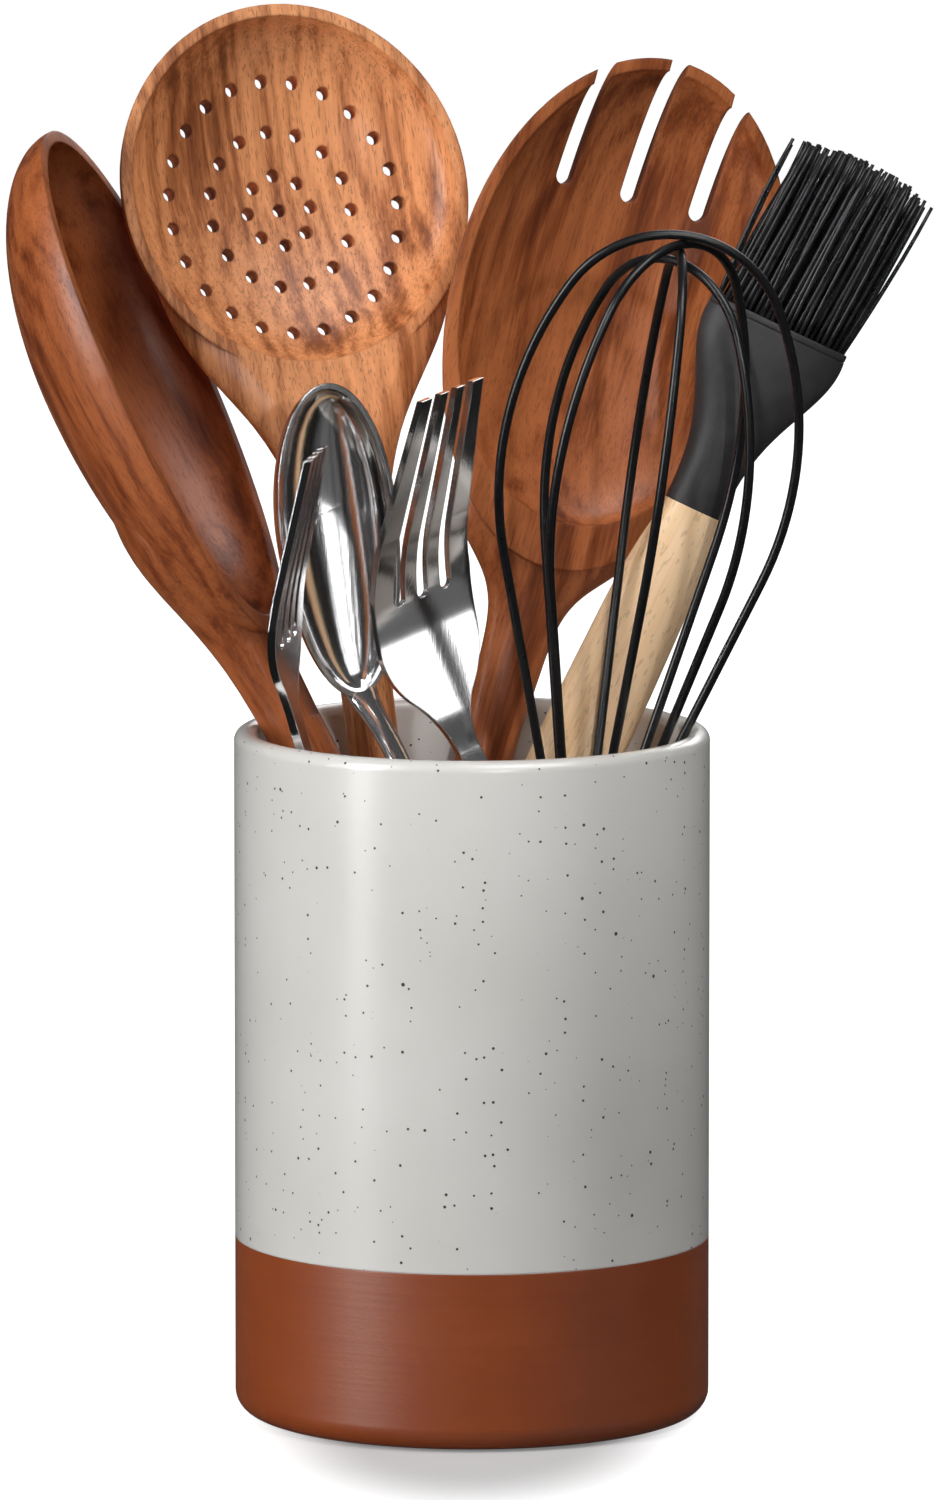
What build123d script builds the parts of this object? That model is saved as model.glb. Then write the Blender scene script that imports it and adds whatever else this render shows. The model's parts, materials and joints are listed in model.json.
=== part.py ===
from build123d import *
import os
from math import acos, asin, cos, degrees, hypot, pi, radians, sin, sqrt, tan

os.makedirs("parts", exist_ok=True)

# A stoneware utensil crock and the eight kitchen tools that stand in it.
# Millimetres and degrees. +Z is up, -Y is the front, and the origin is the centre of the ring
# that the crock stands on. Every tool has its own frame: its Z runs up the handle from the
# crock's floor, its -Y side is the side that its bowl, dish or tines open to, and X is its width.

# Crock: rust clay, with a pale glaze over the inside, the rim and the wall down to the glaze line.
crock_diameter = 126.0
crock_height = 183.0
crock_wall = 6.0
crock_floor = 4.4
foot_recess = 1.6
foot_ring_width = 9.0
foot_ring_edge = 1.0
base_corner = 6.0
inner_corner = 3.0
lip_round = 2.3
glaze_line = 47.5
glaze_thickness = 0.6

# Clearances shared by the pieces.
seat_gap = 0.3
handle_step = 12.0
peg_clearance = 0.05
overrun = 2.0

# Deep wooden serving spoon, seen from its side at the left.
server_rim_x, server_rim_y, server_rest_x, server_rest_y = -47.75, 9.5, 45.8, -19.4
server_turn = 75.0
server_foot_round = 5.0
server_grip_height_share, server_grip_width_share, server_grip_depth_share = 0.55, 0.78, 0.8
server_neck_width, server_neck_depth = 16.0, 15.0
server_flare_heights = (215.0, 233.0, 259.0, 282.0)
server_flare_widths = (18.6, 29.0, 52.0, 50.0)
server_flare_depths = (16.4, 20.5, 25.0, 22.0)
server_flare_backs = (0.2, 0.7, 3.0, 4.0)
server_length = 371.0
server_widest_height = 305.0
server_bowl_width = 75.0
server_bowl_depth = 30.0
server_bowl_tail = 80.0
server_hollow_tail_share = 0.93
server_wall = 3.2
server_front = 13.0
server_crank = -3.5
server_neck_reach = 104.0

# Slotted wooden spoon with a round drilled head, at the back.
slotted_rim_x, slotted_rim_y, slotted_rest_x, slotted_rest_y = -27.5, 37.6, -5.4, 16.2
slotted_turn = 22.0
slotted_foot_round = 5.0
slotted_handle_width, slotted_handle_depth = 15.0, 9.0
slotted_grip_height_share, slotted_grip_width_share = 0.6, 0.9
slotted_flare_heights = (201.0, 240.0, 257.0, 272.0, 286.0, 300.0)
slotted_flare_widths = (15.0, 29.0, 43.0, 64.0, 79.0, 86.0)
slotted_flare_depths = (9.0, 9.8, 10.8, 12.0, 13.0, 13.0)
slotted_head_height = 321.0
slotted_head_width = 98.0
slotted_head_length = 101.0
slotted_head_depth = 22.0
slotted_rim_land = 3.2
slotted_wall = 6.5
slotted_neck_height = 250.0
slotted_crank = 9.0
slotted_neck_reach = 66.0
drain_hole = 3.6
drain_centre_drop = 3.0
drain_stretch_share = 1.07
drain_ring_radii = (9.0, 20.0, 32.5)
drain_ring_counts = (8, 15, 23)

# Wooden serving fork-spoon with four broad tines.
spork_rim_x, spork_rim_y, spork_rest_x, spork_rest_y = 7.4, 49.6, -42.2, 30.4
spork_turn = 18.0
spork_foot_round = 4.5
spork_handle_width, spork_handle_depth = 16.5, 10.0
spork_grip_height_share, spork_grip_width_share = 0.6, 0.85
spork_flare_heights = (208.2, 225.2, 245.2)
spork_flare_widths = (20.6, 41.4, 65.8)
spork_flare_depths = (10.5, 13.0, 16.0)
spork_hollow_tail_share = 0.83
spork_length = 363.0
spork_widest_height = 297.0
spork_head_width = 94.0
spork_head_depth = 19.0
spork_tail = 74.0
spork_rim_land = 3.2
spork_wall = 4.5
spork_slot_width = 5.2
spork_slot_pitch = 19.8
spork_slot_floor = 326.0
spork_crank = 2.0
spork_neck_reach = 96.0

# Steel serving spoon.
spoon_rim_x, spoon_rim_y, spoon_rest_x, spoon_rest_y = -22.0, 5.6, 45.5, -3.5
spoon_turn = 40.0
spoon_foot_round = 2.0
spoon_stem_width, spoon_stem_depth = 7.0, 3.6
spoon_foot_width_share, spoon_grip_height_share = 0.9, 0.6
spoon_neck_depth, spoon_neck_back, spoon_neck_tilt = 3.2, 1.9, 10.0
spoon_root_width, spoon_root_depth, spoon_root_tilt = 9.8, 3.2, -6.0
spoon_lap_height, spoon_lap_width, spoon_lap_depth, spoon_lap_back = 215.0, 25.4, 7.0, 2.2
spoon_neck_height = 186.0
spoon_bowl_height = 246.0
spoon_bowl_width = 41.0
spoon_bowl_depth = 10.0
spoon_bowl_nose, spoon_bowl_tail = 38.0, 50.0
spoon_sheet = 1.6
spoon_crank = -20.0
spoon_dip = 5.5
spoon_neck_reach = 44.0

# Two steel serving forks, one turned edge on and one seen from the front.
side_fork_rim_x, side_fork_rim_y, side_fork_rest_x, side_fork_rest_y = -44.5, -27.0, -3.5, -13.3
side_fork_turn = 74.0
side_fork_width, side_fork_tip_width = 27.0, 15.5
side_fork_dip_height, side_fork_dip_angle, side_fork_dip_radius = 177.0, 4.4, 87.0
side_fork_bend_angle, side_fork_bend_radius = 24.6, 86.0
side_fork_shoulder_low, side_fork_shoulder_high = 187.0, 214.0
side_fork_root = 211.0
side_fork_length = 258.0

front_fork_rim_x, front_fork_rim_y, front_fork_rest_x, front_fork_rest_y = 0.6, -21.7, 50.5, -8.8
front_fork_turn = 32.0
front_fork_width, front_fork_tip_width = 31.0, 19.5
front_fork_dip_height, front_fork_dip_angle, front_fork_dip_radius = 158.0, 22.8, 60.0
front_fork_bend_angle, front_fork_bend_radius = 41.0, 60.5
front_fork_shoulder_low, front_fork_shoulder_high = 181.0, 213.0
front_fork_root = 226.0
front_fork_length = 282.5

fork_foot_round = 2.0
fork_stem_width, fork_stem_depth = 6.6, 3.4
fork_foot_width_share = 0.85
fork_waist_height_share, fork_waist_width_share = 0.6, 0.95
fork_sheet = 2.2
fork_lap = 6.0
fork_slot_width_share = 0.115
fork_slot_pitch_share = 0.24
fork_slot_tip_pitch_share = 0.165
fork_slot_tip_width_share = 0.085

# Balloon whisk with four nested wire loops.
whisk_rim_x, whisk_rim_y, whisk_rest_x, whisk_rest_y = 35.9, -5.5, 10.5, 26.5
whisk_wire = 2.5
whisk_widest = 38.9
whisk_side_radius = 98.0
whisk_root_radius = 7.3
whisk_widest_height = 257.0
whisk_crown_turn = 28.0
whisk_loop_count = 4
whisk_loop_step = 3.1
whisk_first_azimuth = 5.0
whisk_foot_round = 7.0
whisk_handle_top = 138.0
whisk_handle_radius = 9.5
whisk_grip_height_share, whisk_grip_width_share = 0.6, 0.85
whisk_collar_height = 13.0
whisk_socket_depth = 8.0
whisk_peg_radius = 5.0
whisk_peg_length = 10.0

# Basting brush: beech handle, black head and a field of square strands.
brush_rim_x, brush_rim_y, brush_rest_x, brush_rest_y = 32.5, 22.1, -51.6, 5.7
brush_turn = 5.0
brush_foot_round = 4.5
brush_grip_width, brush_grip_depth = 23.5, 14.0
brush_grip_height = 185.0
brush_low_height_share, brush_low_width_share, brush_low_depth_share = 0.5, 0.72, 0.8
brush_high_height, brush_high_width, brush_high_depth = 228.8, 21.9, 13.7
brush_waist_width, brush_waist_depth = 16.0, 12.5
brush_waist_height = 258.0
brush_head_width, brush_head_depth = 40.0, 18.0
brush_head_top = 312.0
brush_head_height_shares = (0.3, 0.55, 0.8)
brush_head_width_shares = (0.46, 0.68, 0.96)
brush_head_depth_shares = (0.8, 0.92, 0.99)
brush_tang_radius = 3.5
brush_tang_length = 44.0
strand_length = 50.0
strand_size = 0.95
strand_columns, strand_rows = 31, 12
strand_root_width, strand_root_depth = 34.0, 14.6
strand_tip_width, strand_tip_depth = 37.5, 17.5
strand_sweep = 3.5
strand_crown = 3.0
strand_backing = 2.0

# Worked-out sizes of the crock.
crock_radius = crock_diameter / 2
inner_radius = crock_radius - crock_wall
floor_top = foot_recess + crock_floor
whisk_foot_height = whisk_handle_top + whisk_collar_height - whisk_socket_depth


def rounded_face(corners):
    """Flat face with straight sides; each corner is (x, y, rounding radius)."""
    edges, ends = [], []
    for index, (x, y, radius) in enumerate(corners):
        corner = Vector(x, y)
        before = (Vector(*corners[index - 1][:2]) - corner).normalized()
        after = (Vector(*corners[(index + 1) % len(corners)][:2]) - corner).normalized()
        if not radius:
            ends.append((corner, corner))
            continue
        half = radians(before.get_angle(after)) / 2
        middle = corner + (before + after).normalized() * (radius / sin(half) - radius)
        enter, leave = corner + before * (radius / tan(half)), corner + after * (radius / tan(half))
        edges.append(ThreePointArc(enter, middle, leave))
        ends.append((enter, leave))
    for index, (enter, _) in enumerate(ends):
        leave = ends[index - 1][1]
        if (enter - leave).length > peg_clearance / 2:
            edges.append(Line(leave, enter))
    return make_face(edges)


def crock_profile(outer, inner, top, floor, step, lip, corner):
    """Half section of the crock, closed on its axis; step leaves room for the glaze."""
    ring = crock_radius - foot_ring_width
    corners = [(0, foot_recess, 0), (ring, foot_recess, 0), (ring, 0, foot_ring_edge),
               (crock_radius, 0, base_corner)]
    if step:
        corners += [(crock_radius, glaze_line, 0), (outer, glaze_line, 0)]
    corners += [(outer, top, lip), (inner, top, lip), (inner, floor, corner), (0, floor, 0)]
    return rounded_face(corners)


def make_crock():
    """Clay body and the glaze that coats it, as two revolved pieces that touch."""
    clay = crock_profile(
        crock_radius - glaze_thickness, inner_radius + glaze_thickness, crock_height - glaze_thickness,
        floor_top - glaze_thickness, True, lip_round, inner_corner + glaze_thickness,
    )
    whole = crock_profile(
        crock_radius, inner_radius, crock_height, floor_top, False, lip_round + glaze_thickness, inner_corner
    )
    return revolve(Plane.XZ * clay, Axis.Z), revolve(Plane.XZ * (whole - clay), Axis.Z)


def tool_frame(rim_x, rim_y, rest_x, rest_y, turn):
    """Frame of a tool: origin where its axis meets the floor, Z up the handle, turned to the right."""
    rest = Vector(rest_x, rest_y, floor_top)
    axis = (Vector(rim_x, rim_y, crock_height) - rest).normalized()
    front = Vector(0, -1, 0)
    front = (front - axis * front.dot(axis)).normalized()
    right = axis.cross(front)
    facing = front * cos(radians(turn)) + right * sin(radians(turn))
    return Plane(origin=rest, x_dir=axis.cross(facing), z_dir=axis)


def foot_height(frame, foot_round):
    """Height along the axis of the centre of a rounded foot that rests on the floor."""
    return (seat_gap + foot_round) / frame.z_dir.Z


def oval(height, width, depth, back=0, tilt=0):
    """Cross section of a handle; tilt leans its upward normal to the back."""
    lean = radians(tilt)
    plane = Plane(origin=(0, back, height), x_dir=(1, 0, 0), z_dir=(0, sin(lean), cos(lean)))
    return plane * Ellipse(width / 2, depth / 2)


def eased(stations, height):
    """Sizes at a height, on a smooth curve through the stations that never swings past them."""
    index = max(k for k in range(len(stations) - 1) if k == 0 or stations[k][0] <= height)
    low, high = stations[index], stations[index + 1]
    step = high[0] - low[0]
    t = (height - low[0]) / step
    sizes = []
    for item in range(1, len(low)):
        slopes = [(b[item] - a[item]) / (b[0] - a[0]) for a, b in zip(stations, stations[1:])]
        ends = []
        for k in (index, index + 1):
            before, after = slopes[max(k - 1, 0)], slopes[min(k, len(slopes) - 1)]
            ends.append(2 * before * after / (before + after) * step if before * after > 0 else 0)
        bend = low[item] * (1 + 2 * t) * (1 - t) ** 2 + high[item] * t * t * (3 - 2 * t)
        sizes.append(bend + ends[0] * t * (1 - t) ** 2 - ends[1] * t * t * (1 - t))
    return (height, *sizes)


def limb(sections):
    """Handle through the given ovals, closed below by a dome as deep as its first oval."""
    stations = [(*section, 0, 0)[:5] for section in sections]
    height, width, depth = stations[0][:3]
    reach = stations[-1][0] - height
    count = round(reach / handle_step)
    ovals = [oval(*eased(stations, height + reach * k / count)) for k in range(count + 1)]
    half_ball = Sphere(1) & Box(4, 4, 4, align=(Align.CENTER, Align.CENTER, Align.MAX))
    dome = Pos(0, 0, height) * scale(half_ball, by=(width / 2, depth / 2, depth / 2))
    return loft(ovals) + dome


def egg(half_width, depth, nose, tail):
    """Egg centred on the origin, widest at Z = 0, with its nose up and its tail down."""
    ball = Rot(90, 0, 0) * Rot(0, 0, 45) * Sphere(1)
    halves = []
    for reach, side in ((nose, Align.MIN), (tail, Align.MAX)):
        half = ball & Box(4, 4, 4, align=(Align.CENTER, Align.CENTER, side))
        halves.append(scale(half, by=(half_width, depth, reach)))
    return halves[0] + halves[1]


def bowl(outer, inner, reach, handle):
    """Bowl whose opening is the XZ plane, hollowed to the inner egg and joined to its handle.

    The opening plane also trims the handle, down to the reach below the widest place.
    """
    half_width, depth, nose, tail = outer
    span = 2 * max(outer)
    back = Box(2 * span, span, 2 * span, align=(Align.CENTER, Align.MIN, Align.CENTER))
    hollow = egg(*inner)
    shell = (egg(*outer) & back) - hollow
    front = Pos(0, 0, -reach) * Box(
        2 * span, span, 4 * span, align=(Align.CENTER, Align.MAX, Align.MIN))
    return shell + ((handle - front) - hollow)


def head_plane(height, front, crank):
    """Plane of a head's opening: its Z leans to the back by the crank, its -Y side is open."""
    lean = radians(crank)
    return Plane(origin=(0, -front, height), x_dir=(1, 0, 0), z_dir=(0, sin(lean), cos(lean)))


def make_server():
    """Deep serving spoon: an egg-shaped bowl on a thick round handle."""
    frame = tool_frame(server_rim_x, server_rim_y, server_rest_x, server_rest_y, server_turn)
    foot = foot_height(frame, server_foot_round)
    nose = server_length - server_widest_height
    half = server_bowl_width / 2
    handle = limb([
        (foot, 2 * server_foot_round, 2 * server_foot_round),
        (crock_height * server_grip_height_share, server_neck_width * server_grip_width_share,
         server_neck_depth * server_grip_depth_share),
        (crock_height, server_neck_width, server_neck_depth),
        *zip(server_flare_heights, server_flare_widths, server_flare_depths, server_flare_backs),
    ])
    head = head_plane(server_widest_height, server_front, server_crank).location
    inner = (half - server_wall, server_bowl_depth - server_wall, nose - server_wall,
             server_bowl_tail * server_hollow_tail_share)
    outer = (half, server_bowl_depth, nose, server_bowl_tail)
    body = bowl(outer, inner, server_neck_reach, head.inverse() * handle)
    return frame.location * head * body


def make_slotted():
    """Round slotted spoon: a shallow drilled dish on a flat flaring neck."""
    frame = tool_frame(slotted_rim_x, slotted_rim_y, slotted_rest_x, slotted_rest_y, slotted_turn)
    foot = foot_height(frame, slotted_foot_round)
    half = slotted_head_width / 2
    front = slotted_handle_depth / 2
    rise = slotted_head_height - slotted_neck_height
    back = rise * sin(radians(slotted_crank))
    past_neck = [max(height - slotted_neck_height, 0) for height in slotted_flare_heights]
    backs = [past * sin(radians(slotted_crank)) for past in past_neck]
    tilts = [slotted_crank if past else 0 for past in past_neck]
    handle = limb([
        (foot, 2 * slotted_foot_round, 2 * slotted_foot_round),
        (crock_height * slotted_grip_height_share, slotted_handle_width * slotted_grip_width_share,
         slotted_handle_depth),
        *zip(slotted_flare_heights, slotted_flare_widths, slotted_flare_depths, backs, tilts),
    ])
    height = slotted_neck_height + rise * cos(radians(slotted_crank))
    head = head_plane(height, front - back, slotted_crank).location
    long = slotted_head_length / 2
    dish, reach = half - slotted_rim_land, long - slotted_rim_land
    inner = (dish, slotted_head_depth - slotted_wall, reach, reach)
    outer = (half, slotted_head_depth, long, long)
    body = bowl(outer, inner, slotted_neck_reach, head.inverse() * handle)
    drill = Rot(90, 0, 0) * Cylinder(drain_hole / 2, 2 * slotted_head_depth + overrun)
    places = [Pos(0, 0, -drain_centre_drop)]
    for radius, count in zip(drain_ring_radii, drain_ring_counts):
        turns = [2 * pi * k / count for k in range(count)]
        tall = radius * drain_stretch_share
        places += [Pos(radius * sin(a), 0, tall * cos(a) - drain_centre_drop) for a in turns]
    body -= [place * drill for place in places]
    return frame.location * head * body


def make_spork():
    """Serving fork-spoon: an egg-shaped dish cut by three slots from its tip."""
    frame = tool_frame(spork_rim_x, spork_rim_y, spork_rest_x, spork_rest_y, spork_turn)
    foot = foot_height(frame, spork_foot_round)
    half = spork_head_width / 2
    front = spork_handle_depth / 2
    nose = spork_length - spork_widest_height
    handle = limb([
        (foot, 2 * spork_foot_round, 2 * spork_foot_round),
        (crock_height * spork_grip_height_share, spork_handle_width * spork_grip_width_share,
         spork_handle_depth),
        (crock_height, spork_handle_width, spork_handle_depth),
        *zip(spork_flare_heights, spork_flare_widths, spork_flare_depths),
    ])
    head = head_plane(spork_widest_height, front, spork_crank).location
    inner = (half - spork_rim_land, spork_head_depth - spork_wall, nose - spork_rim_land,
             spork_tail * spork_hollow_tail_share)
    outer = (half, spork_head_depth, nose, spork_tail)
    body = bowl(outer, inner, spork_neck_reach, head.inverse() * handle)
    reach = spork_length - spork_slot_floor + overrun
    slot = Box(spork_slot_width, 2 * spork_head_depth, reach, align=(Align.CENTER, Align.CENTER, Align.MIN))
    slot += Rot(90, 0, 0) * Cylinder(spork_slot_width / 2, 2 * spork_head_depth)
    lift = spork_slot_floor - spork_widest_height
    body -= [Pos(side * spork_slot_pitch, 0, lift) * slot for side in (-1, 0, 1)]
    return frame.location * head * body


def make_spoon():
    """Steel spoon: a pressed bowl on a slim stem that dips to the back at the neck."""
    frame = tool_frame(spoon_rim_x, spoon_rim_y, spoon_rest_x, spoon_rest_y, spoon_turn)
    foot = foot_height(frame, spoon_foot_round)
    half = spoon_bowl_width / 2
    lean = radians(spoon_crank)
    tail_drop = spoon_bowl_tail * cos(lean)
    bowl_back = spoon_dip + spoon_bowl_tail * sin(lean)
    neck = spoon_neck_height
    handle = limb([
        (foot, 2 * spoon_foot_round, 2 * spoon_foot_round),
        (foot + 3 * spoon_foot_round, spoon_stem_width * spoon_foot_width_share, spoon_stem_depth),
        (neck * spoon_grip_height_share, spoon_stem_width, spoon_stem_depth),
        (neck, spoon_stem_width, spoon_neck_depth, spoon_neck_back, spoon_neck_tilt),
        (spoon_bowl_height - tail_drop, spoon_root_width, spoon_root_depth,
         spoon_dip + spoon_sheet, spoon_root_tilt),
        (spoon_lap_height, spoon_lap_width, spoon_lap_depth, spoon_lap_back, spoon_crank),
    ])
    head = head_plane(spoon_bowl_height, -bowl_back, spoon_crank).location
    inner = (half - spoon_sheet, spoon_bowl_depth - spoon_sheet,
             spoon_bowl_nose - spoon_sheet, spoon_bowl_tail - spoon_sheet)
    outer = (half, spoon_bowl_depth, spoon_bowl_nose, spoon_bowl_tail)
    return frame.location * head * bowl(outer, inner, spoon_neck_reach, head.inverse() * handle)


def fork_outline(width, tip_width, foot, shoulder, root, length):
    """Fork seen from its front: stem, two arcs at each shoulder, four tines and the slots between them."""
    stem, half, tip = fork_stem_width / 2, width / 2, tip_width / 2
    low, high = shoulder
    edges = [Line((-stem, foot), (stem, foot)), Line((-tip, length), (tip, length))]
    for side in (-1, 1):
        middle = (side * (stem + half) / 2, (low + high) / 2)
        edges += [
            Line((side * stem, foot), (side * stem, low)),
            TangentArc((side * stem, low), middle, tangent=(0, 1)),
            TangentArc((side * half, high), middle, tangent=(0, -1)),
            Line((side * half, high), (side * half, max(high, root) + fork_sheet)),
            Line((side * half, max(high, root) + fork_sheet), (side * tip, length)),
        ]
    face = make_face(edges)
    cut = width * fork_slot_width_share / 2
    end = width * fork_slot_tip_width_share / 2
    top = length + overrun
    for side in (-1, 0, 1):
        base = side * width * fork_slot_pitch_share
        mouth = side * width * fork_slot_tip_pitch_share
        corners = [(base - cut, root), (base + cut, root), (mouth + end, top), (mouth - end, top)]
        face -= make_face(Polyline(*corners, close=True)) + Pos(base, root) * Circle(cut)
    return face


def fork_path(dip, bend, foot, length):
    """Centre line of a fork's head in the YZ plane: up, back along the dip, forward along the bend, out."""
    dip_height, dip_angle, dip_radius = dip
    bend_angle, bend_radius = bend
    back, front = radians(dip_angle), radians(bend_angle)

    def on_dip(angle):
        return (0, dip_radius * (1 - cos(angle)), dip_height + dip_radius * sin(angle))

    centre_y = on_dip(back)[1] - bend_radius * cos(back)
    centre_z = on_dip(back)[2] + bend_radius * sin(back)

    def on_bend(angle):
        return (0, centre_y + bend_radius * cos(angle), centre_z - bend_radius * sin(angle))

    last = Vector(*on_bend(-front))
    out = Vector(0, -sin(front), cos(front))
    return Wire([
        Line((0, 0, foot), (0, 0, dip_height)),
        ThreePointArc((0, 0, dip_height), on_dip(back / 2), on_dip(back)),
        ThreePointArc(on_dip(back), on_bend((back - front) / 2), on_bend(-front)),
        Line(last, last + out * ((length + overrun - last.Z) / out.Z)),
    ])


def make_fork(frame, widths, dip, bend, shoulder, root, length):
    """Steel fork: a slim stem, and a flat head that dips back at the neck and bends forward."""
    foot = foot_height(frame, fork_foot_round)
    start = dip[0] - fork_lap
    path = fork_path(dip, bend, start, length)
    band = sweep(Plane(origin=(0, 0, start)) * Rectangle(widths[0] + overrun, fork_sheet), path)
    outline = Plane.XZ * fork_outline(*widths, start - overrun, shoulder, root, length)
    head = band & extrude(outline, length, both=True)
    handle = limb([
        (foot, 2 * fork_foot_round, 2 * fork_foot_round),
        (foot + 3 * fork_foot_round, fork_stem_width * fork_foot_width_share, fork_stem_depth),
        (start * fork_waist_height_share, fork_stem_width * fork_waist_width_share, fork_stem_depth),
        (dip[0], fork_stem_width, fork_sheet),
    ])
    return frame.location * (handle + head)


def make_side_fork():
    frame = tool_frame(side_fork_rim_x, side_fork_rim_y, side_fork_rest_x, side_fork_rest_y, side_fork_turn)
    return make_fork(
        frame, (side_fork_width, side_fork_tip_width),
        (side_fork_dip_height, side_fork_dip_angle, side_fork_dip_radius),
        (side_fork_bend_angle, side_fork_bend_radius),
        (side_fork_shoulder_low, side_fork_shoulder_high), side_fork_root, side_fork_length,
    )


def make_front_fork():
    frame = tool_frame(
        front_fork_rim_x, front_fork_rim_y, front_fork_rest_x, front_fork_rest_y, front_fork_turn)
    return make_fork(
        frame, (front_fork_width, front_fork_tip_width),
        (front_fork_dip_height, front_fork_dip_angle, front_fork_dip_radius),
        (front_fork_bend_angle, front_fork_bend_radius),
        (front_fork_shoulder_low, front_fork_shoulder_high), front_fork_root, front_fork_length,
    )


def whisk_frame():
    return tool_frame(whisk_rim_x, whisk_rim_y, whisk_rest_x, whisk_rest_y, 0)


def whisk_lean(index):
    """Lean of one loop's straight wires, which run from their sockets to touch the side arc."""
    across = whisk_root_radius - whisk_widest + index * whisk_loop_step / 2 + whisk_side_radius
    down = whisk_widest_height - index * whisk_loop_step / 2 - whisk_foot_height
    return asin(down / hypot(across, down)) - acos(whisk_side_radius / hypot(across, down))


def whisk_path(index):
    """Half outline of one loop as (radius, height) points: foot, side start, side middle, shoulder, top."""
    widest = whisk_widest - index * whisk_loop_step / 2
    height = whisk_widest_height - index * whisk_loop_step / 2
    lean, crown = whisk_lean(index), radians(whisk_crown_turn)

    def side(angle):
        return (widest - whisk_side_radius * (1 - cos(angle)), height + whisk_side_radius * sin(angle))

    shoulder = side(crown)
    crown_radius = shoulder[0] / cos(crown)
    top = shoulder[1] + crown_radius * (1 - sin(crown))
    return [(whisk_root_radius, whisk_foot_height), side(-lean), side((crown - lean) / 2), shoulder, (0, top)]


def wire_loop(index):
    """One loop: up from the collar, round the balloon and the crown, and down the other side."""
    points = whisk_path(index)
    right = [Vector(r, 0, z) for r, z in points]
    left = [Vector(-r, 0, z) for r, z in points]
    edges = [
        Line(right[0], right[1]),
        ThreePointArc(*right[1:4]),
        ThreePointArc(right[3], right[4], left[3]),
        ThreePointArc(left[3], left[2], left[1]),
        Line(left[1], left[0]),
    ]
    path = Wire(edges)
    section = Plane(origin=path @ 0, z_dir=path % 0) * Circle(whisk_wire / 2)
    return Rot(0, 0, whisk_first_azimuth + index * 180 / whisk_loop_count) * sweep(section, path)


def wire_sockets(radius):
    """Straight holes in the collar that the wire ends stand in, as solids to cut away."""
    holes = []
    for index in range(whisk_loop_count):
        base, foot = whisk_path(index)[0]
        for side in (-1, 1):
            lean = side * degrees(whisk_lean(index))
            hole = Rot(0, lean, 0) * Cylinder(radius, 4 * whisk_socket_depth)
            turn = Rot(0, 0, whisk_first_azimuth + index * 180 / whisk_loop_count)
            holes.append(turn * (Pos(side * base, 0, foot) * hole))
    return holes


def make_whisk():
    """Round handle, a collar with a peg and eight sockets, and the four loops."""
    frame = whisk_frame()
    foot = foot_height(frame, whisk_foot_round)
    top, radius = whisk_handle_top, whisk_handle_radius
    waist = 2 * radius * whisk_grip_width_share
    handle = limb([
        (foot, 2 * whisk_foot_round, 2 * whisk_foot_round),
        (top * whisk_grip_height_share, waist, waist),
        (top, 2 * radius, 2 * radius),
    ])
    bore = Pos(0, 0, top - whisk_peg_length - seat_gap) * Cylinder(
        whisk_peg_radius + peg_clearance, whisk_peg_length + seat_gap + overrun,
        align=(Align.CENTER, Align.CENTER, Align.MIN))
    collar = Pos(0, 0, top) * Cylinder(radius, whisk_collar_height, align=(Align.CENTER, Align.CENTER, Align.MIN))
    rim = collar.edges().filter_by(GeomType.CIRCLE).sort_by(Axis.Z)[-1]
    collar = fillet(rim, whisk_wire / 2)
    collar += Pos(0, 0, top - whisk_peg_length) * Cylinder(
        whisk_peg_radius, whisk_peg_length, align=(Align.CENTER, Align.CENTER, Align.MIN))
    floor = Pos(0, 0, whisk_foot_height) * Box(
        4 * radius, 4 * radius, 2 * whisk_socket_depth + overrun, align=(Align.CENTER, Align.CENTER, Align.MIN))
    collar -= [hole & floor for hole in wire_sockets(whisk_wire / 2 + peg_clearance)]
    loops = [wire_loop(index) & floor_block() for index in range(whisk_loop_count)]
    return [frame.location * piece for piece in (handle - bore, collar, *loops)]


def floor_block():
    """Everything above the bottom of the wire sockets."""
    span = 4 * (whisk_widest_height + whisk_widest)
    return Pos(0, 0, whisk_foot_height) * Box(span, span, span, align=(Align.CENTER, Align.CENTER, Align.MIN))


def make_strands():
    """Field of square strands fused to a slice of the head that carries them."""
    slice_height = strand_backing
    backing = extrude(
        Pos(0, 0, brush_head_top - slice_height) * Ellipse(brush_head_width / 2, brush_head_depth / 2), slice_height
    )
    strands = []
    for column in range(strand_columns):
        across = column / (strand_columns - 1) - 1 / 2
        for row in range(strand_rows):
            deep = row / (strand_rows - 1) - 1 / 2
            root = Vector(across * strand_root_width, deep * strand_root_depth, brush_head_top - slice_height / 2)
            reach = hypot(root.X / (brush_head_width / 2 - strand_size), root.Y / (brush_head_depth / 2 - strand_size))
            if reach > 1:
                continue
            crown = strand_crown * (1 - 4 * across * across)
            tip = Vector(across * strand_tip_width + strand_sweep, deep * strand_tip_depth,
                         brush_head_top + strand_length - strand_crown + crown)
            section = Plane(origin=root, x_dir=(1, 0, 0)) * Rectangle(strand_size, strand_size)
            strands.append(extrude(section, (tip - root).length, dir=(tip - root).normalized()))
    print("strands", len(strands))
    return backing.fuse(*[strand.solid() for strand in strands])


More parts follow.
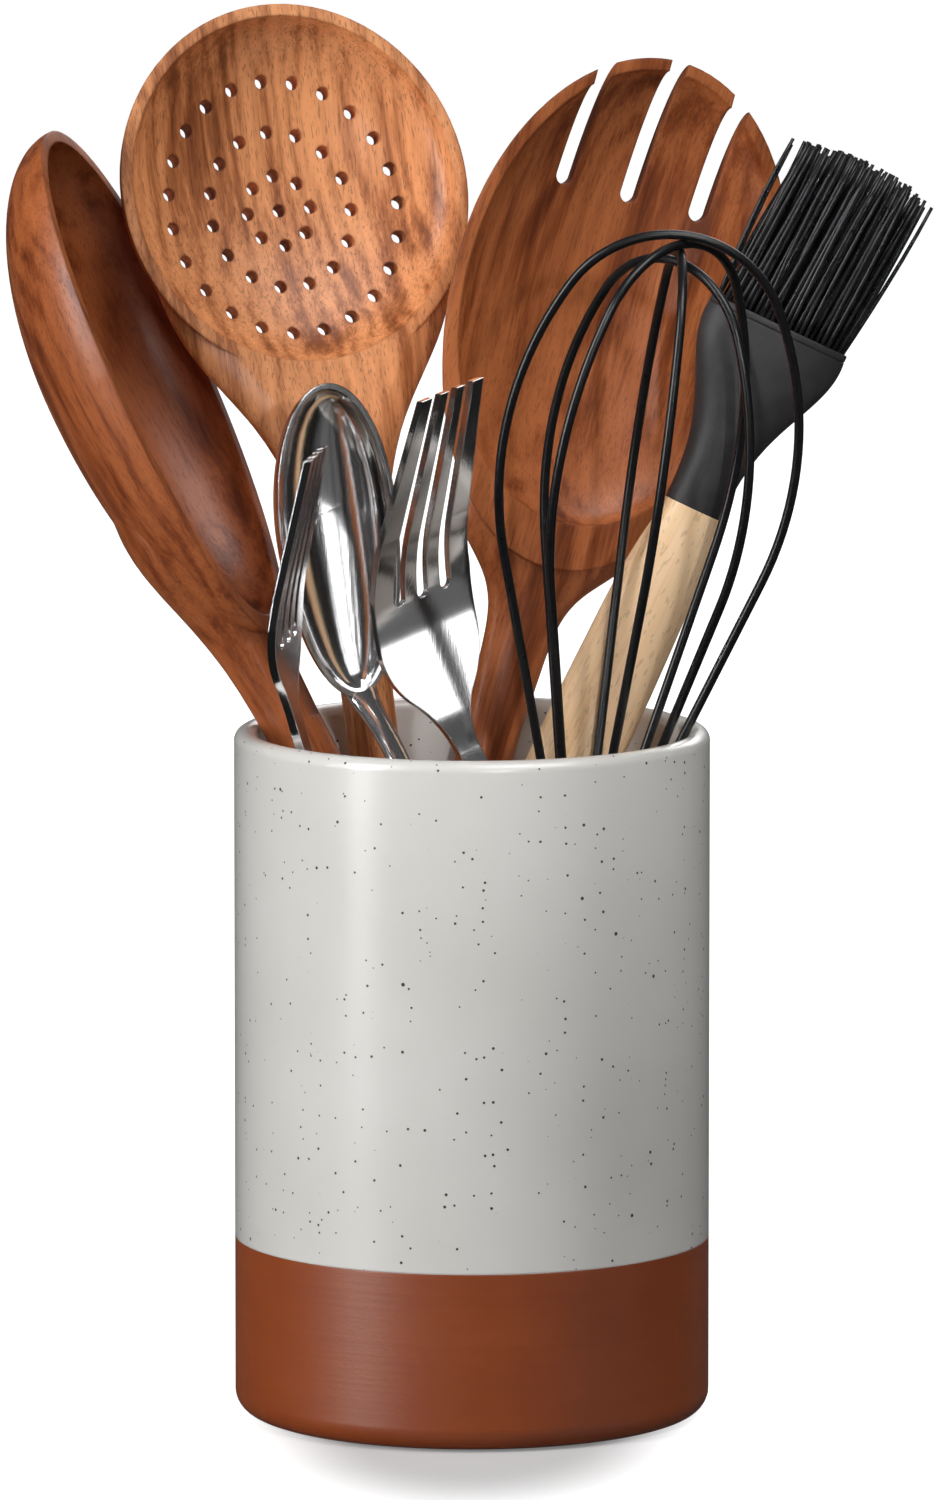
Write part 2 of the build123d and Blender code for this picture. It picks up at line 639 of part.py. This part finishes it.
def make_brush():
    """Beech handle, hidden tang, black head and the strands that stand in it."""
    frame = tool_frame(brush_rim_x, brush_rim_y, brush_rest_x, brush_rest_y, brush_turn)
    foot = foot_height(frame, brush_foot_round)
    waist = brush_waist_height
    tang_base = waist - brush_tang_length / 2
    handle = limb([
        (foot, 2 * brush_foot_round, 2 * brush_foot_round),
        (brush_grip_height * brush_low_height_share, brush_grip_width * brush_low_width_share,
         brush_grip_depth * brush_low_depth_share),
        (brush_grip_height, brush_grip_width, brush_grip_depth),
        (brush_high_height, brush_high_width, brush_high_depth),
        (waist, brush_waist_width, brush_waist_depth),
    ])
    bottom = (Align.CENTER, Align.CENTER, Align.MIN)
    bore = Pos(0, 0, tang_base - seat_gap) * Cylinder(
        brush_tang_radius + peg_clearance, brush_tang_length + 2 * seat_gap, align=bottom)
    tang = Pos(0, 0, tang_base) * Cylinder(brush_tang_radius, brush_tang_length, align=bottom)
    rise = brush_head_top - waist
    shares = zip(brush_head_height_shares, brush_head_width_shares, brush_head_depth_shares)
    slice_floor = brush_head_top - strand_backing
    head = loft([
        oval(waist, brush_waist_width, brush_waist_depth),
        *[oval(waist + rise * high, brush_head_width * wide, brush_head_depth * deep) for high, wide, deep in shares],
        oval(slice_floor, brush_head_width, brush_head_depth),
    ])
    return [frame.location * piece for piece in (handle - bore, tang, head - bore, make_strands())]


def write(name, shape):
    """Save one piece as its own file."""
    solids = shape.solids()
    piece = solids[0] if len(solids) == 1 else Compound(children=solids)
    piece.label = name
    export_step(piece, f"parts/{name}.step")
    print(name, len(solids), round(sum(s.volume for s in solids)))


def write_all(names, shapes):
    for name, shape in zip(names, shapes):
        write(name, shape)


write_all(["crock_body", "glaze_coat"], make_crock())
write("serving_spoon", make_server())
write("slotted_spoon", make_slotted())
write("spork", make_spork())
write("steel_spoon", make_spoon())
write("side_fork", make_side_fork())
write("front_fork", make_front_fork())
whisk_names = ["whisk_handle", "whisk_collar"] + [f"whisk_wire_{k + 1}" for k in range(whisk_loop_count)]
write_all(whisk_names, make_whisk())
write_all(["brush_handle", "brush_core", "brush_head", "brush_bristles"], make_brush())
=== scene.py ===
import json
import math
import random

import bpy
from mathutils import Matrix, Vector


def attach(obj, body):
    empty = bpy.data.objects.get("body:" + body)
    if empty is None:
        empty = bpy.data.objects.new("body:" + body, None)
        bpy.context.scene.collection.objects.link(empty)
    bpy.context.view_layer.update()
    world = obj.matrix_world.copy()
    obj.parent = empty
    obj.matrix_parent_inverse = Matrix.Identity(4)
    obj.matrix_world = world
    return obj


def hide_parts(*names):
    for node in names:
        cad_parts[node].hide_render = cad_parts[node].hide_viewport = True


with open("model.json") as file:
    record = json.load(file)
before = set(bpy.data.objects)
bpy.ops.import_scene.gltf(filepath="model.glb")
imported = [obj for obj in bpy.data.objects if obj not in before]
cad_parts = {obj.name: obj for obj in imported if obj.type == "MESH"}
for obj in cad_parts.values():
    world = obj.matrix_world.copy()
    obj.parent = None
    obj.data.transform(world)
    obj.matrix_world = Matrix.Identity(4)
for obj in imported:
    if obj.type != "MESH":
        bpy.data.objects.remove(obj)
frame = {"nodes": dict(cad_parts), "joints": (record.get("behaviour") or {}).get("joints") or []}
for leftover in ("Cube", "Light", "Camera"):
    if leftover in bpy.data.objects:
        bpy.data.objects.remove(bpy.data.objects[leftover])
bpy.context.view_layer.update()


# Crock body: rust-brown stoneware clay, left bare below the glaze line and thrown straight.
# It shows as the satin band at the foot, which has faint throwing marks and uneven iron colour.
class Socket:
    """A shader output that can be added, multiplied and so on; each step adds a Math node."""

    def __init__(self, finish, output):
        self.finish, self.output = finish, output

    def math(self, kind, first, second):
        return self.finish.node("ShaderNodeMath", {"operation": kind}, {0: first, 1: second})

    def __add__(self, other):
        return self.math("ADD", self, other)

    def __radd__(self, other):
        return self.math("ADD", other, self)

    def __sub__(self, other):
        return self.math("SUBTRACT", self, other)

    def __rsub__(self, other):
        return self.math("SUBTRACT", other, self)

    def __mul__(self, other):
        return self.math("MULTIPLY", self, other)

    def __rmul__(self, other):
        return self.math("MULTIPLY", other, self)

    def __truediv__(self, other):
        return self.math("DIVIDE", self, other)

    def __lt__(self, other):
        return self.math("LESS_THAN", self, other)


class Shader:
    """The nodes of one material or of the world, and the surface or background that they feed."""

    def __init__(self, owner, surface):
        owner.use_nodes = True
        self.nodes, self.links = owner.node_tree.nodes, owner.node_tree.links
        self.surface = self.nodes[surface]

    def feed(self, socket, value, node=None):
        """Sets a socket, or links it if the value is a shader output."""
        target = (node or self.surface).inputs[socket]
        if isinstance(value, Socket):
            self.links.new(value.output, target)
        else:
            target.default_value = value

    def node(self, kind, settings=None, sockets=None, stops=None, out=0):
        """Adds a node, sets its options and ramp stops, then its sockets, and returns one output."""
        node = self.nodes.new(kind)
        for option, value in (settings or {}).items():
            setattr(node, option, value)
        if stops:
            ramp = node.color_ramp
            while len(ramp.elements) < len(stops):
                ramp.elements.new(1)
            for element, (position, colour) in zip(ramp.elements, stops):
                element.position, element.color = position, (*colour, 1)
        for socket, value in (sockets or {}).items():
            self.feed(socket, value, node)
        return Socket(self, node.outputs[out])

    def place(self, size, turn=(0, 0, 0), centre=(0, 0, 0)):
        """Object coordinates measured from a centre, along turned axes, in units of the given size."""
        spot = self.node("ShaderNodeTexCoord", out="Object")
        return self.node("ShaderNodeMapping", {"vector_type": "TEXTURE"}, {
            "Vector": spot, "Location": centre, "Rotation": turn, "Scale": size})

    def noise(self, where, detail=2, roughness=0.5):
        return self.node("ShaderNodeTexNoise", sockets={
            "Vector": where, "Scale": 1, "Detail": detail, "Roughness": roughness})

    def ramp(self, value, stops):
        return self.node("ShaderNodeValToRGB", sockets={"Fac": value}, stops=stops)

    def span(self, value, low, high, start, end):
        """The value carried smoothly from the range low to high over to start to end."""
        return self.node("ShaderNodeMapRange", {"interpolation_type": "SMOOTHSTEP"}, {
            "Value": value, "From Min": low, "From Max": high, "To Min": start, "To Max": end})

    def ray(self, kind):
        return self.node("ShaderNodeLightPath", out=f"Is {kind} Ray")

    def blend(self, amount, first, second):
        """The first colour, covered by the second in that amount. Sockets 6, 7 and 2 are its colours."""
        return self.node("ShaderNodeMix", {"data_type": "RGBA"}, {0: amount, 6: first, 7: second}, out=2)

    def relief(self, height, depth, edge=None):
        """Bump of the given depth in metres; edge rounds sharp edges by that radius."""
        sockets = {"Height": height, "Strength": 1.0, "Distance": depth}
        if edge:
            sockets["Normal"] = self.node("ShaderNodeBevel", {"samples": 4}, {"Radius": edge})
        self.feed("Normal", self.node("ShaderNodeBump", sockets=sockets))


class Finish(Shader):
    """One material: a Principled surface and the nodes that vary its colour, gloss and relief."""

    def __init__(self, name, **settings):
        self.material = bpy.data.materials.new(name)
        super().__init__(self.material, "Principled BSDF")
        for socket, value in settings.items():
            self.feed(socket.replace("_", " "), value)


def paint(node, finish):
    """Gives a CAD node's object its material."""
    piece = frame["nodes"][node]
    piece.data.materials.clear()
    piece.data.materials.append(finish.material)


def lift_axis(lift):
    """The direction in which a tool lifts out, which is the direction of its handle."""
    return Vector(next(joint for joint in frame["joints"] if joint["name"] == lift)["axis"])


clay = Finish("rust_clay", Specular_IOR_Level=1.0, Coat_Weight=0.5, Coat_Roughness=0.34)
patches = clay.noise(clay.place((0.035, 0.035, 0.02)), detail=4, roughness=0.6)
throwing = clay.noise(clay.place((0.4, 0.4, 0.0016)))
deep_rust, rust, bright_rust = (0.265, 0.044, 0.003), (0.300, 0.054, 0.004), (0.335, 0.064, 0.006)
clay.feed("Base Color", clay.ramp(patches * 0.7 + throwing * 0.3, [
    (0.3, deep_rust), (0.55, rust), (0.75, bright_rust)]))
grit = clay.noise(clay.place((0.0009, 0.0009, 0.0009)))
clay.feed("Roughness", 0.34 + 0.14 * grit)
clay.relief(grit * 0.4 + throwing * 0.6, depth=0.00007, edge=0.0006)
paint("crock_body", clay)

# Glaze coat: a pale stone-grey gloss glaze over the inside, the lip and the wall to its line.
# Iron in it has burnt to fine dark specks, the largest about a millimetre across.
glaze = Finish("speckled_glaze", Coat_Weight=1.0, Coat_Roughness=0.25)
cloud = glaze.noise(glaze.place((0.05, 0.05, 0.05)), detail=3)
grey, pale_grey, iron_black = (0.680, 0.665, 0.630), (0.735, 0.722, 0.690), (0.020, 0.016, 0.014, 1)
pale = glaze.ramp(cloud, [(0.3, grey), (0.7, pale_grey)])


def specks(cell, share, size):
    """1 in the specks: a random share of cells of that width holds one, up to size across."""
    where = glaze.place((cell, cell, cell))
    spot = {"Vector": where, "Scale": 1, "Randomness": 1.0}
    gap = glaze.node("ShaderNodeTexVoronoi", sockets=spot)
    tint = glaze.node("ShaderNodeTexVoronoi", sockets=spot, out="Color")
    chance = glaze.node("ShaderNodeSeparateColor", sockets={"Color": tint}, out="Red")
    girth = glaze.node("ShaderNodeSeparateColor", sockets={"Color": tint}, out="Green")
    smallest = 0.35
    reach = (smallest + (1 - smallest) * girth) * (size / cell / 2)
    return (chance < share) * (gap < reach)


dots = specks(cell=0.0046, share=0.5, size=0.0011) + specks(cell=0.0024, share=0.5, size=0.00085)
glaze.feed("Base Color", glaze.blend(dots * 0.95, pale, iron_black))
ripple = glaze.noise(glaze.place((0.012, 0.012, 0.012)))
glaze.feed("Roughness", 0.26 + 0.08 * ripple)
glaze.relief(ripple - dots * 0.3, depth=0.00005, edge=0.0008)
paint("glaze_coat", glaze)


# Wooden spoons: three tools cut from acacia boards with the grain along the handle, then sanded
# round and oiled. Dark heartwood streaks follow the growth rings, and open pores catch the light.
def acacia(node, lift, centre, pith, light, seed):
    """Oiled acacia whose grain runs along that joint's axis, in rings round the pith."""
    ring_width, taper, waviness = 0.0055, 0.12, 5.5
    sapwood, plain, heartwood, streaks = (1.22, 1.28, 1.34), (1, 1, 1), (0.66, 0.56, 0.48), (0.34, 0.25, 0.20)
    pore_brown = (0.12, 0.030, 0.010, 1)
    turn = lift_axis(lift).to_track_quat("Z", "Y").to_euler()
    wood = Finish("acacia_" + node, Specular_IOR_Level=0.3, Coat_Weight=0.3, Coat_Roughness=0.28)
    board = wood.place((1, 1, 1), turn, centre)
    wander = wood.noise(wood.place((0.03, 0.03, 0.11), turn, centre), detail=3)
    offset = wood.node("ShaderNodeVectorMath", {"operation": "SUBTRACT"}, {0: board, 1: (*pith, 0)})
    across = wood.node("ShaderNodeVectorMath", {"operation": "MULTIPLY"}, {0: offset, 1: (1, 1, taper)})
    reach = wood.node("ShaderNodeVectorMath", {"operation": "LENGTH"}, {0: across}, out="Value")
    turns = reach / ring_width + wander * waviness + seed
    ring = wood.node("ShaderNodeMath", {"operation": "SINE"}, {0: turns * math.tau})
    streak = wood.noise(wood.place((0.008, 0.008, 0.13), turn, centre), detail=4, roughness=0.6)
    fibre = wood.noise(wood.place((0.0009, 0.0009, 0.022), turn, centre), detail=3, roughness=0.6)
    pore = wood.noise(wood.place((0.00042, 0.00042, 0.0045), turn, centre), detail=1)
    darkness = 0.46 + ring * 0.12 + (streak - 0.5) * 1.8 + (fibre - 0.5) * 0.7 + (wander - 0.5)
    tone = wood.ramp(darkness, [
        (stop, tuple(part * shade for part, shade in zip(light, shades)))
        for stop, shades in ((0.10, sapwood), (0.45, plain), (0.68, heartwood), (0.95, streaks))])
    pits = pore < 0.37
    wood.feed("Base Color", wood.blend(pits * 0.40, tone, pore_brown))
    wood.feed("Roughness", 0.34 + fibre * 0.14 + pits * 0.15)
    wood.relief(fibre * 0.5 - pits * 0.6, depth=0.00010, edge=0.0011)
    paint(node, wood)


acacia("serving_spoon", "serving_spoon_lift", centre=(-0.09, 0.02, 0.26), pith=(0.012, 0.05),
       light=(0.350, 0.092, 0.024), seed=0.0)
acacia("slotted_spoon", "slotted_spoon_lift", centre=(-0.05, 0.06, 0.32), pith=(-0.07, 0.03),
       light=(0.780, 0.318, 0.126), seed=0.4)
acacia("spork", "spork_lift", centre=(0.04, 0.06, 0.29), pith=(0.08, -0.02),
       light=(0.400, 0.116, 0.034), seed=0.7)

# Steel serving pieces: a spoon and two forks, pressed from sheet and polished to a mirror.
# Only fine hairlines from the polishing wheel and light handling marks break up the reflections.
steel = Finish("polished_steel", Metallic=1.0)
smears = steel.noise(steel.place((0.02, 0.02, 0.05)), detail=3)
handled, clean = (0.88, 0.88, 0.89), (0.94, 0.94, 0.95)
steel.feed("Base Color", steel.ramp(smears, [(0.3, handled), (0.7, clean)]))
hairline = steel.noise(steel.place((0.0005, 0.0005, 0.02)))
steel.feed("Roughness", 0.05 + 0.07 * smears + 0.04 * hairline)
steel.relief(hairline, depth=0.000008, edge=0.0005)
steel_pieces = ("steel_spoon", "side_fork", "front_fork")
for node in steel_pieces:
    paint(node, steel)


# Turned beech handles of the whisk and the brush: pale, straight-grained wood with a satin lacquer.
# Short darker ray flecks lie all along it, as on any quarter-cut beech.
def beech(node, lift):
    """Lacquered beech whose grain runs along that joint's axis."""
    turn = lift_axis(lift).to_track_quat("Z", "Y").to_euler()
    wood = Finish("beech_" + node, Coat_Weight=0.15, Coat_Roughness=0.25)
    band = wood.noise(wood.place((0.004, 0.009, 0.12), turn), detail=4, roughness=0.6)
    fibre = wood.noise(wood.place((0.0007, 0.0007, 0.018), turn))
    fleck = wood.noise(wood.place((0.00045, 0.0012, 0.0035), turn), detail=1)
    cream, straw, tan = (0.980, 0.720, 0.450), (0.960, 0.650, 0.370), (0.820, 0.500, 0.260)
    tone = wood.ramp(band * 0.7 + fibre * 0.3, [(0.32, cream), (0.5, straw), (0.68, tan)])
    fleck_brown = (0.36, 0.19, 0.09, 1)
    marks = fleck < 0.36
    wood.feed("Base Color", wood.blend(marks * 0.28, tone, fleck_brown))
    wood.feed("Roughness", 0.34 + 0.15 * fibre)
    wood.relief(fibre - marks * 0.5, depth=0.00006, edge=0.0006)
    paint(node, wood)


beech("whisk_handle", "whisk_lift")
beech("brush_handle", "brush_lift")

# Whisk collar and brush tang: brushed stainless steel, out of sight in use. The collar caps the
# whisk's handle and holds the eight wire ends, and the tang pins the brush's head to its handle.
brushed = Finish("brushed_steel", Metallic=1.0)
lines = brushed.noise(brushed.place((0.02, 0.02, 0.0002)))
groove, crest = (0.50, 0.50, 0.51), (0.62, 0.62, 0.63)
brushed.feed("Base Color", brushed.ramp(lines, [(0.3, groove), (0.7, crest)]))
brushed.feed("Roughness", 0.24 + 0.16 * lines)
brushed.relief(lines, depth=0.00002, edge=0.0004)
paint("whisk_collar", brushed)
paint("brush_core", brushed)

# Whisk wires: spring wire under a thick coat of black silicone, smooth and faintly glossy.
# Four nested loops cross at the crown, and each end stands in its socket in the collar.
coating = Finish("wire_silicone", Specular_IOR_Level=0.5)
skin = coating.noise(coating.place((0.0014, 0.0014, 0.0014)))
jet, soft_jet = (0.004, 0.004, 0.005), (0.008, 0.008, 0.009)
coating.feed("Base Color", coating.ramp(skin, [(0.3, jet), (0.7, soft_jet)]))
coating.feed("Roughness", 0.24 + 0.12 * skin)
coating.relief(skin, depth=0.00002)
for index in range(1, 5):
    paint(f"whisk_wire_{index}", coating)

# Brush head: one moulding of black silicone that stands on the end of the handle, where the tang
# pins it, draws in at a waist and flares to hold the strands. Its skin is matt, with a cloudy bloom.
rubber = Finish("head_silicone", Specular_IOR_Level=0.4)
bloom = rubber.noise(rubber.place((0.006, 0.006, 0.006)), detail=4, roughness=0.6)
pebble = rubber.noise(rubber.place((0.0005, 0.0005, 0.0005)), detail=1)
charcoal, dusty_charcoal = (0.026, 0.025, 0.026), (0.040, 0.038, 0.040)
rubber.feed("Base Color", rubber.ramp(bloom, [(0.3, charcoal), (0.7, dusty_charcoal)]))
rubber.feed("Roughness", 0.42 + 0.16 * bloom)
rubber.relief(pebble, depth=0.00003, edge=0.0008)
paint("brush_head", rubber)

# Brush strands: a dense field of round silicone strands that bow a little and end unevenly.
# One strand is drawn up from a disc and thinned towards its tip, and each copy leans its own way.
strand_rubber = Finish("strand_silicone", Specular_IOR_Level=0.5)
sheen = strand_rubber.noise(strand_rubber.place((0.003, 0.003, 0.003)))
black, worn_black = (0.010, 0.010, 0.011), (0.022, 0.022, 0.024)
strand_rubber.feed("Base Color", strand_rubber.ramp(sheen, [(0.3, black), (0.7, worn_black)]))
strand_rubber.feed("Roughness", 0.22 + 0.14 * sheen)
strand_rubber.relief(sheen, depth=0.00004)
brush_axis = lift_axis("brush_lift")
brush_foot = Vector((-0.0516, 0.0057, 0.006))
brush_front = (Vector((0, -1, 0)) - brush_axis * -brush_axis.y).normalized()
brush_twist = math.radians(5)
brush_front.rotate(Matrix.Rotation(brush_twist, 3, brush_axis))
brush_side = brush_axis.cross(brush_front)
brush_turn = Matrix((brush_side, -brush_front, brush_axis)).transposed().to_4x4()
brush_space = Matrix.Translation(brush_foot) @ brush_turn
strand_radius, columns, rows, clumps, row_shift = 0.00068, 23, 9, 9, 0.012
field_width, field_depth, oval_width, oval_depth = 0.0362, 0.0150, 0.0192, 0.0082
root_height, tip_height, crown, unevenness = 0.3105, 0.3585, 0.0028, 0.0030
tip_width, tip_shift, tip_depth, clump_share = 0.0375, 0.0026, 0.0170, 0.45
column_stray, root_stray, tip_side_stray, tip_deep_stray, roll_stray = 0.008, 0.0003, 0.0010, 0.0008, 0.7
bpy.ops.object.select_all(action="DESELECT")
bpy.ops.mesh.primitive_circle_add(vertices=5, radius=strand_radius, fill_type="NGON", location=(0, 0, 0))
first_strand = bpy.context.object
first_strand.name = "brush_strands"
bpy.ops.object.mode_set(mode="EDIT")
bows = ((0.0005, 1), (0.0004, 0.98), (0.0002, 0.96), (0, 0.95), (-0.0003, 0.93), (-0.0006, 0.88))
for lean, thin in bows:
    bpy.ops.mesh.extrude_region_move(TRANSFORM_OT_translate={"value": (-lean, 0, 1 / len(bows))})
    bpy.ops.transform.resize(value=(thin, thin, 1))
bpy.ops.object.mode_set(mode="OBJECT")
first_strand.data.materials.append(strand_rubber.material)
bpy.ops.object.shade_smooth()
chance = random.Random(7)


def stray(most):
    """A random step to either side."""
    return chance.uniform(-most, most)


strands = []
for column in range(columns):
    for row in range(rows):
        across = column / (columns - 1) - 0.5 + stray(column_stray)
        deep = row / (rows - 1) - 0.5
        clump = (math.floor((across + 0.5) * (clumps - 0.01)) + 0.5) / clumps - 0.5
        clump += (row % 3 - 1) * row_shift
        root = Vector((across * field_width, deep * field_depth + stray(root_stray), root_height))
        if math.hypot(root.x / oval_width, root.y / oval_depth) > 1:
            continue
        gathered = across * (1 - clump_share) + clump * clump_share
        tip = Vector((gathered * tip_width + tip_shift + stray(tip_side_stray),
                      deep * tip_depth + stray(tip_deep_stray),
                      tip_height + crown * (1 - 4 * across * across) - chance.uniform(0, unevenness)))
        copy = first_strand.copy()
        copy.data = first_strand.data.copy()
        bpy.context.scene.collection.objects.link(copy)
        along = tip - root
        roll = Matrix.Rotation(stray(roll_stray), 4, "Z")
        turn = along.to_track_quat("Z", "Y").to_matrix().to_4x4() @ roll
        stretch = Matrix.Diagonal((1, 1, along.length, 1))
        copy.matrix_world = brush_space @ Matrix.Translation(root) @ turn @ stretch
        strands.append(copy)
bpy.data.objects.remove(first_strand)
bpy.ops.object.select_all(action="DESELECT")
for copy in strands:
    copy.select_set(True)
bpy.context.view_layer.objects.active = strands[0]
bpy.ops.object.join()
bpy.ops.object.transform_apply(location=True, rotation=True, scale=True)
strand_field = bpy.context.object
strand_field.name = "brush_strands"
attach(strand_field, "brush")
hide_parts("brush_bristles")

# Strand backing: the thin top slice of the brush head, which the strands are moulded into.
# It closes the head's top edge with a small round.
bpy.ops.object.select_all(action="DESELECT")
slice_thickness, slice_height, slice_width, slice_depth = 0.002, 0.311, 0.040, 0.018
bpy.ops.mesh.primitive_cylinder_add(
    vertices=96, radius=0.5, depth=slice_thickness, location=(0, 0, slice_height))
backing = bpy.context.object
backing.name = "strand_backing"
bpy.ops.object.mode_set(mode="EDIT")
bpy.ops.mesh.select_all(action="SELECT")
bpy.ops.transform.resize(value=(slice_width, slice_depth, 1))
bpy.ops.object.mode_set(mode="OBJECT")
rounding = backing.modifiers.new("edge", "BEVEL")
rounding.width, rounding.segments, rounding.limit_method = 0.0004, 3, "ANGLE"
bpy.ops.object.modifier_apply(modifier="edge")
bpy.ops.object.shade_smooth_by_angle(angle=math.radians(40))
backing.matrix_world = brush_space @ backing.matrix_world
bpy.ops.object.transform_apply(location=True, rotation=True, scale=True)
backing.data.materials.append(rubber.material)
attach(backing, "brush")
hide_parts("brush_bristles")

# Floor: a pale table top that the crock stands on, with nothing on it. To the camera it glows white, except
# in an oval under and in front of the crock, where the glow drops to a painted shadow over the cast shadow.
# The steel doesn't mirror it.
bpy.ops.mesh.primitive_plane_add(size=40, location=(0, 0, -0.0002))
table_top = bpy.context.object
table_top.name = "table_top"
bpy.ops.object.transform_apply(location=True, rotation=True, scale=True)
ground = Finish("pale_floor", Roughness=0.8, Specular_IOR_Level=0.1)
ground.feed("Base Color", (0.5, 0.5, 0.5, 1))
# Painted shadow: the camera glow drops in an oval that reaches furthest in front of the crock; the cast
# shadow shows inside it.
shadow_centre, shadow_stretch, shadow_core, shadow_edge = -0.036, 1.9, 0.028, 0.070
shadow_glow, table_glow = 0.18, 0.98
spot = ground.place((1, shadow_stretch, 1), centre=(0, shadow_centre, 0))
reach = ground.node("ShaderNodeVectorMath", {"operation": "LENGTH"}, {0: spot}, out="Value")
camera_glow_and_painted_shadow = ground.span(reach, shadow_core, shadow_edge, shadow_glow, table_glow)
ground.feed("Emission Color", (1, 1, 1, 1))
ground.feed("Emission Strength", camera_glow_and_painted_shadow * ground.ray("Camera"))
table_top.data.materials.append(ground.material)
table_top.visible_glossy = False

# Light: a tall soft box at the left front, wide ones high at the right and behind, a panel that only
# the steel mirrors, a narrow lamp on the pale handle, and a surround that is brighter above.
world = bpy.data.worlds.new("studio")
bpy.context.scene.world = world
sky = Shader(world, "Background")
heading = sky.node("ShaderNodeTexCoord", out="Generated")
right, back, up = [
    sky.node("ShaderNodeSeparateXYZ", sockets={"Vector": heading}, out=part) for part in ("X", "Y", "Z")]
front = sky.span(back, low=0.05, high=-0.12, start=0, end=1)
below = sky.span(up, low=-0.10, high=-0.22, start=0, end=1)
reflector = sky.span(right, low=0.35, high=0.9, start=0, end=2.2) * (front * below)
overhead = sky.span(up, low=-0.02, high=0.35, start=0.17, end=1.5)
behind = sky.span(back, low=0.25, high=0.8, start=0, end=0.7)
mirrored = 1 - sky.ray("Diffuse") - sky.ray("Camera")
ambient = 0.64
glow = (overhead + behind + reflector) * mirrored + sky.ray("Diffuse") * ambient
sky.feed("Strength", glow + sky.ray("Camera"))


def soft_box(name, azimuth, elevation, distance, width, height, power):
    """A flat lamp that faces the object's middle from that direction."""
    middle = Vector((0, 0, 0.2))
    around, above = math.radians(azimuth), math.radians(elevation)
    away = Vector((math.sin(around) * math.cos(above), -math.cos(around) * math.cos(above), math.sin(above)))
    lamp = bpy.data.lights.new(name, "AREA")
    lamp.shape, lamp.size, lamp.size_y, lamp.energy = "RECTANGLE", width, height, power
    box = bpy.data.objects.new(name, lamp)
    bpy.context.scene.collection.objects.link(box)
    box.location = middle + away * distance
    box.rotation_euler = away.to_track_quat("Z", "Y").to_euler()
    return box


soft_box("key", azimuth=-54, elevation=18, distance=1.8, width=0.4, height=1.7, power=28)
soft_box("fill", azimuth=38, elevation=58, distance=2.4, width=1.5, height=1.5, power=32)
soft_box("back", azimuth=160, elevation=32, distance=2.4, width=1.5, height=1.5, power=20)
panel = soft_box("steel_panel", azimuth=68, elevation=3, distance=1.5, width=0.75, height=1.0, power=3.9)
panel.light_linking.receiver_collection = bpy.data.collections.new("steel")
for node in steel_pieces:
    panel.light_linking.receiver_collection.objects.link(frame["nodes"][node])
snoot = bpy.data.lights.new("snoot", "SPOT")
snoot.energy, snoot.spot_size, snoot.spot_blend, snoot.shadow_soft_size = 220, math.radians(3.4), 0.6, 0.12
pointer = bpy.data.objects.new("snoot", snoot)
bpy.context.scene.collection.objects.link(pointer)
pointer.location = (0.55, -2.2, 0.75)
pale_handle = Vector((0.060, 0, 0.248))
pointer.rotation_euler = (pointer.location - pale_handle).to_track_quat("Z", "Y").to_euler()

# Camera: a long lens 3.7 m in front of the crock, looking down by about 8 degrees, as in the
# photograph. The plain view keeps the pale glaze and the white table as bright as they are lit.
lens = bpy.data.cameras.new("camera")
lens.lens, lens.sensor_width = 339.0, 36.0
camera = bpy.data.objects.new("camera", lens)
bpy.context.scene.collection.objects.link(camera)
camera.location = (-0.000926, -3.7, 0.713)
looking_down = 8.24
camera.rotation_euler = (math.radians(90 - looking_down), 0, 0)
bpy.context.scene.camera = camera
bpy.context.scene.view_settings.view_transform = "Standard"
